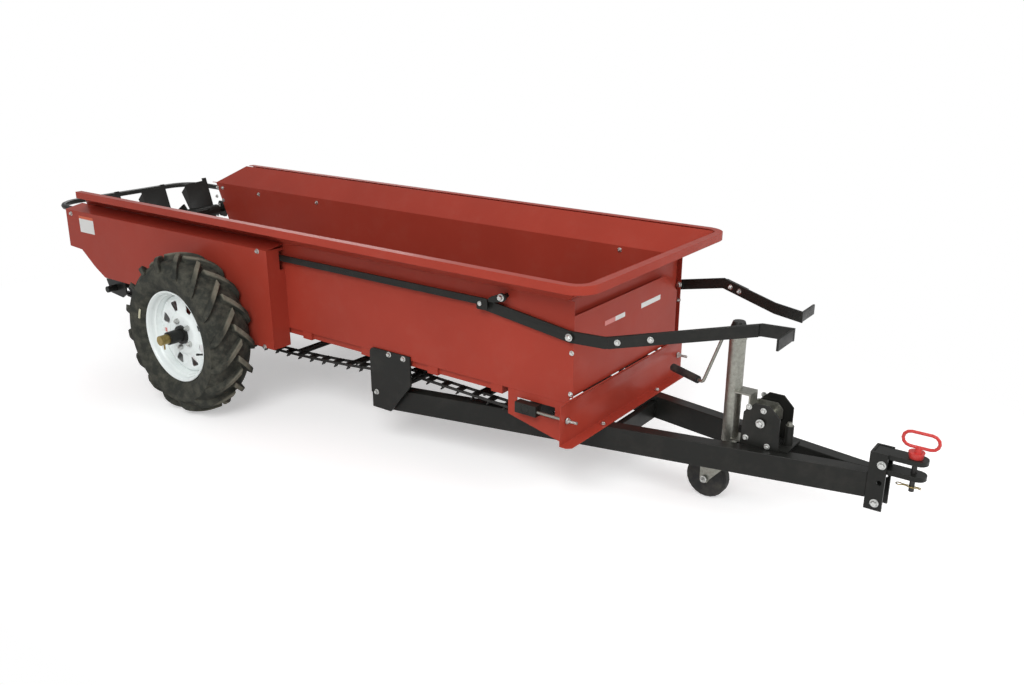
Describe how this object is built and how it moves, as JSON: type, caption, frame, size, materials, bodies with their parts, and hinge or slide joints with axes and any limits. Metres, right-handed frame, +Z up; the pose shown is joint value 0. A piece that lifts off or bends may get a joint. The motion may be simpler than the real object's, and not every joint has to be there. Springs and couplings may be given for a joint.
{
  "type": "compact towed manure spreader",
  "caption": "Compact ground-driven manure spreader: flared steel box with chain apron floor, rear beater, lugged tyres, A-frame drawbar with pin hitch and a swing-up caster jack.",
  "frame": {"origin": "on the floor, half way between the machine's two ends and on its centre line", "axes": "+X forwards to the hitch, +Y to the machine's left, +Z up"},
  "size_m": [4.2098, 1.459, 0.849],
  "materials": {
    "red_paint": "satin red enamel on sheet steel",
    "black_paint": "semi-gloss black enamel",
    "tyre_rubber": "dull black rubber with farm-pattern lugs",
    "white_paint": "glossy white enamel",
    "zinc": "dull zinc plate",
    "yellow_zinc": "yellow zinc plate",
    "steel": "bare worn steel",
    "floor_board": "weathered board",
    "pin_red": "bright red coated steel",
    "hard_rubber": "hard black rubber and plastic"
  },
  "bodies": {
    "chassis": {"side_sheet_right": "red_paint", "side_sheet_left": "red_paint", "front_wall": "red_paint", "front_flare": "red_paint", "rim_lip": "red_paint", "underframe": "red_paint", "floor_board": "floor_board", "front_shield": "red_paint", "lower_front_cover": "red_paint", "front_gusset_right": "red_paint", "front_gusset_left": "red_paint", "drive_cover_right": "red_paint", "drive_cover_left": "red_paint", "axle": "steel", "axle_bearing_right": "black_paint", "axle_bearing_left": "black_paint", "drawbar_beam_right": "black_paint", "beam_hanger_right": "black_paint", "drawbar_beam_left": "black_paint", "beam_hanger_left": "black_paint", "drawbar_tie": "black_paint", "drawbar_crossmember": "black_paint", "hitch_channel": "black_paint", "hitch_clevis": "black_paint", "hitch_pin": "pin_red", "jack_plate_right": "black_paint", "jack_plate_left": "black_paint", "apron": "black_paint", "apron_shaft_front": "black_paint", "apron_shaft_rear": "black_paint", "rear_bearing_right": "black_paint", "take_up_right": "black_paint", "beater_bearing_right": "black_paint", "rear_bearing_left": "black_paint", "take_up_left": "black_paint", "beater_bearing_left": "black_paint", "rear_guard": "black_paint", "drive_chain_right": "steel", "drive_chain_left": "steel", "drawbar_post": "black_paint"},
    "right_wheel": {"tyre_right": "tyre_rubber", "wheel_right": "white_paint", "hub_right": "black_paint", "hub_lock_right": "yellow_zinc"},
    "left_wheel": {"tyre_left": "tyre_rubber", "wheel_left": "white_paint", "hub_left": "black_paint", "hub_lock_left": "yellow_zinc"},
    "beater_reel": {"beater": "black_paint"},
    "jack": {"jack_tube": "zinc", "jack_cap": "black_paint", "jack_crank": "zinc", "jack_grip": "hard_rubber"},
    "jack_leg": {"jack_inner_tube": "zinc"},
    "caster_fork": {"caster_yoke": "zinc"},
    "caster_roller": {"caster_wheel": "hard_rubber"},
    "right_lever": {"lever_right": "black_paint"},
    "left_lever": {"lever_left": "black_paint"},
    "right_push_bar": {"push_bar_right": "black_paint"},
    "left_push_bar": {"push_bar_left": "black_paint"}
  },
  "joints": [
    {"name": "right_wheel_spin", "type": "hinge", "parent": "chassis", "child": "right_wheel", "pos_m": [-0.7946, -0.585, 0.345], "axis": [0, 1, 0], "continuous": true},
    {"name": "left_wheel_spin", "type": "hinge", "parent": "chassis", "child": "left_wheel", "pos_m": [-0.7946, 0.585, 0.345], "axis": [0, 1, 0], "continuous": true},
    {"name": "beater_spin", "type": "hinge", "parent": "chassis", "child": "beater_reel", "pos_m": [-1.7876, 0, 0.612], "axis": [0, 1, 0], "continuous": true},
    {"name": "jack_swing", "type": "hinge", "parent": "chassis", "child": "jack", "pos_m": [1.5604, 0, 0.355], "axis": [0, 1, 0], "range_deg": [0, 90]},
    {"name": "jack_lift", "type": "slide", "parent": "jack", "child": "jack_leg", "axis": [0, 0, 1], "range_m": [-0.1, 0.06]},
    {"name": "caster_swivel", "type": "hinge", "parent": "jack_leg", "child": "caster_fork", "pos_m": [1.4304, 0, 0.1644], "axis": [0, 0, 1], "continuous": true},
    {"name": "caster_spin", "type": "hinge", "parent": "caster_fork", "child": "caster_roller", "pos_m": [1.3604, 0, 0.0762], "axis": [0, 1, 0], "continuous": true},
    {"name": "right_lever_swing", "type": "hinge", "parent": "chassis", "child": "right_lever", "pos_m": [1.0174, -0.394, 0.637], "axis": [0, 1, 0], "range_deg": [-10, 0]},
    {"name": "left_lever_swing", "type": "hinge", "parent": "chassis", "child": "left_lever", "pos_m": [1.0174, 0.394, 0.637], "axis": [0, 1, 0], "range_deg": [-10, 0]},
    {"name": "right_push_swing", "type": "hinge", "parent": "chassis", "child": "right_push_bar", "pos_m": [-0.5446, -0.4023, 0.697], "axis": [0, 1, 0], "range_deg": [0, 3]},
    {"name": "left_push_swing", "type": "hinge", "parent": "chassis", "child": "left_push_bar", "pos_m": [-0.5446, 0.4023, 0.697], "axis": [0, 1, 0], "range_deg": [0, 3]}
  ],
  "couplings": [
    {"joint": "right_push_swing", "follows": "right_lever_swing", "ratio": -0.3},
    {"joint": "left_push_swing", "follows": "left_lever_swing", "ratio": -0.3}
  ]
}
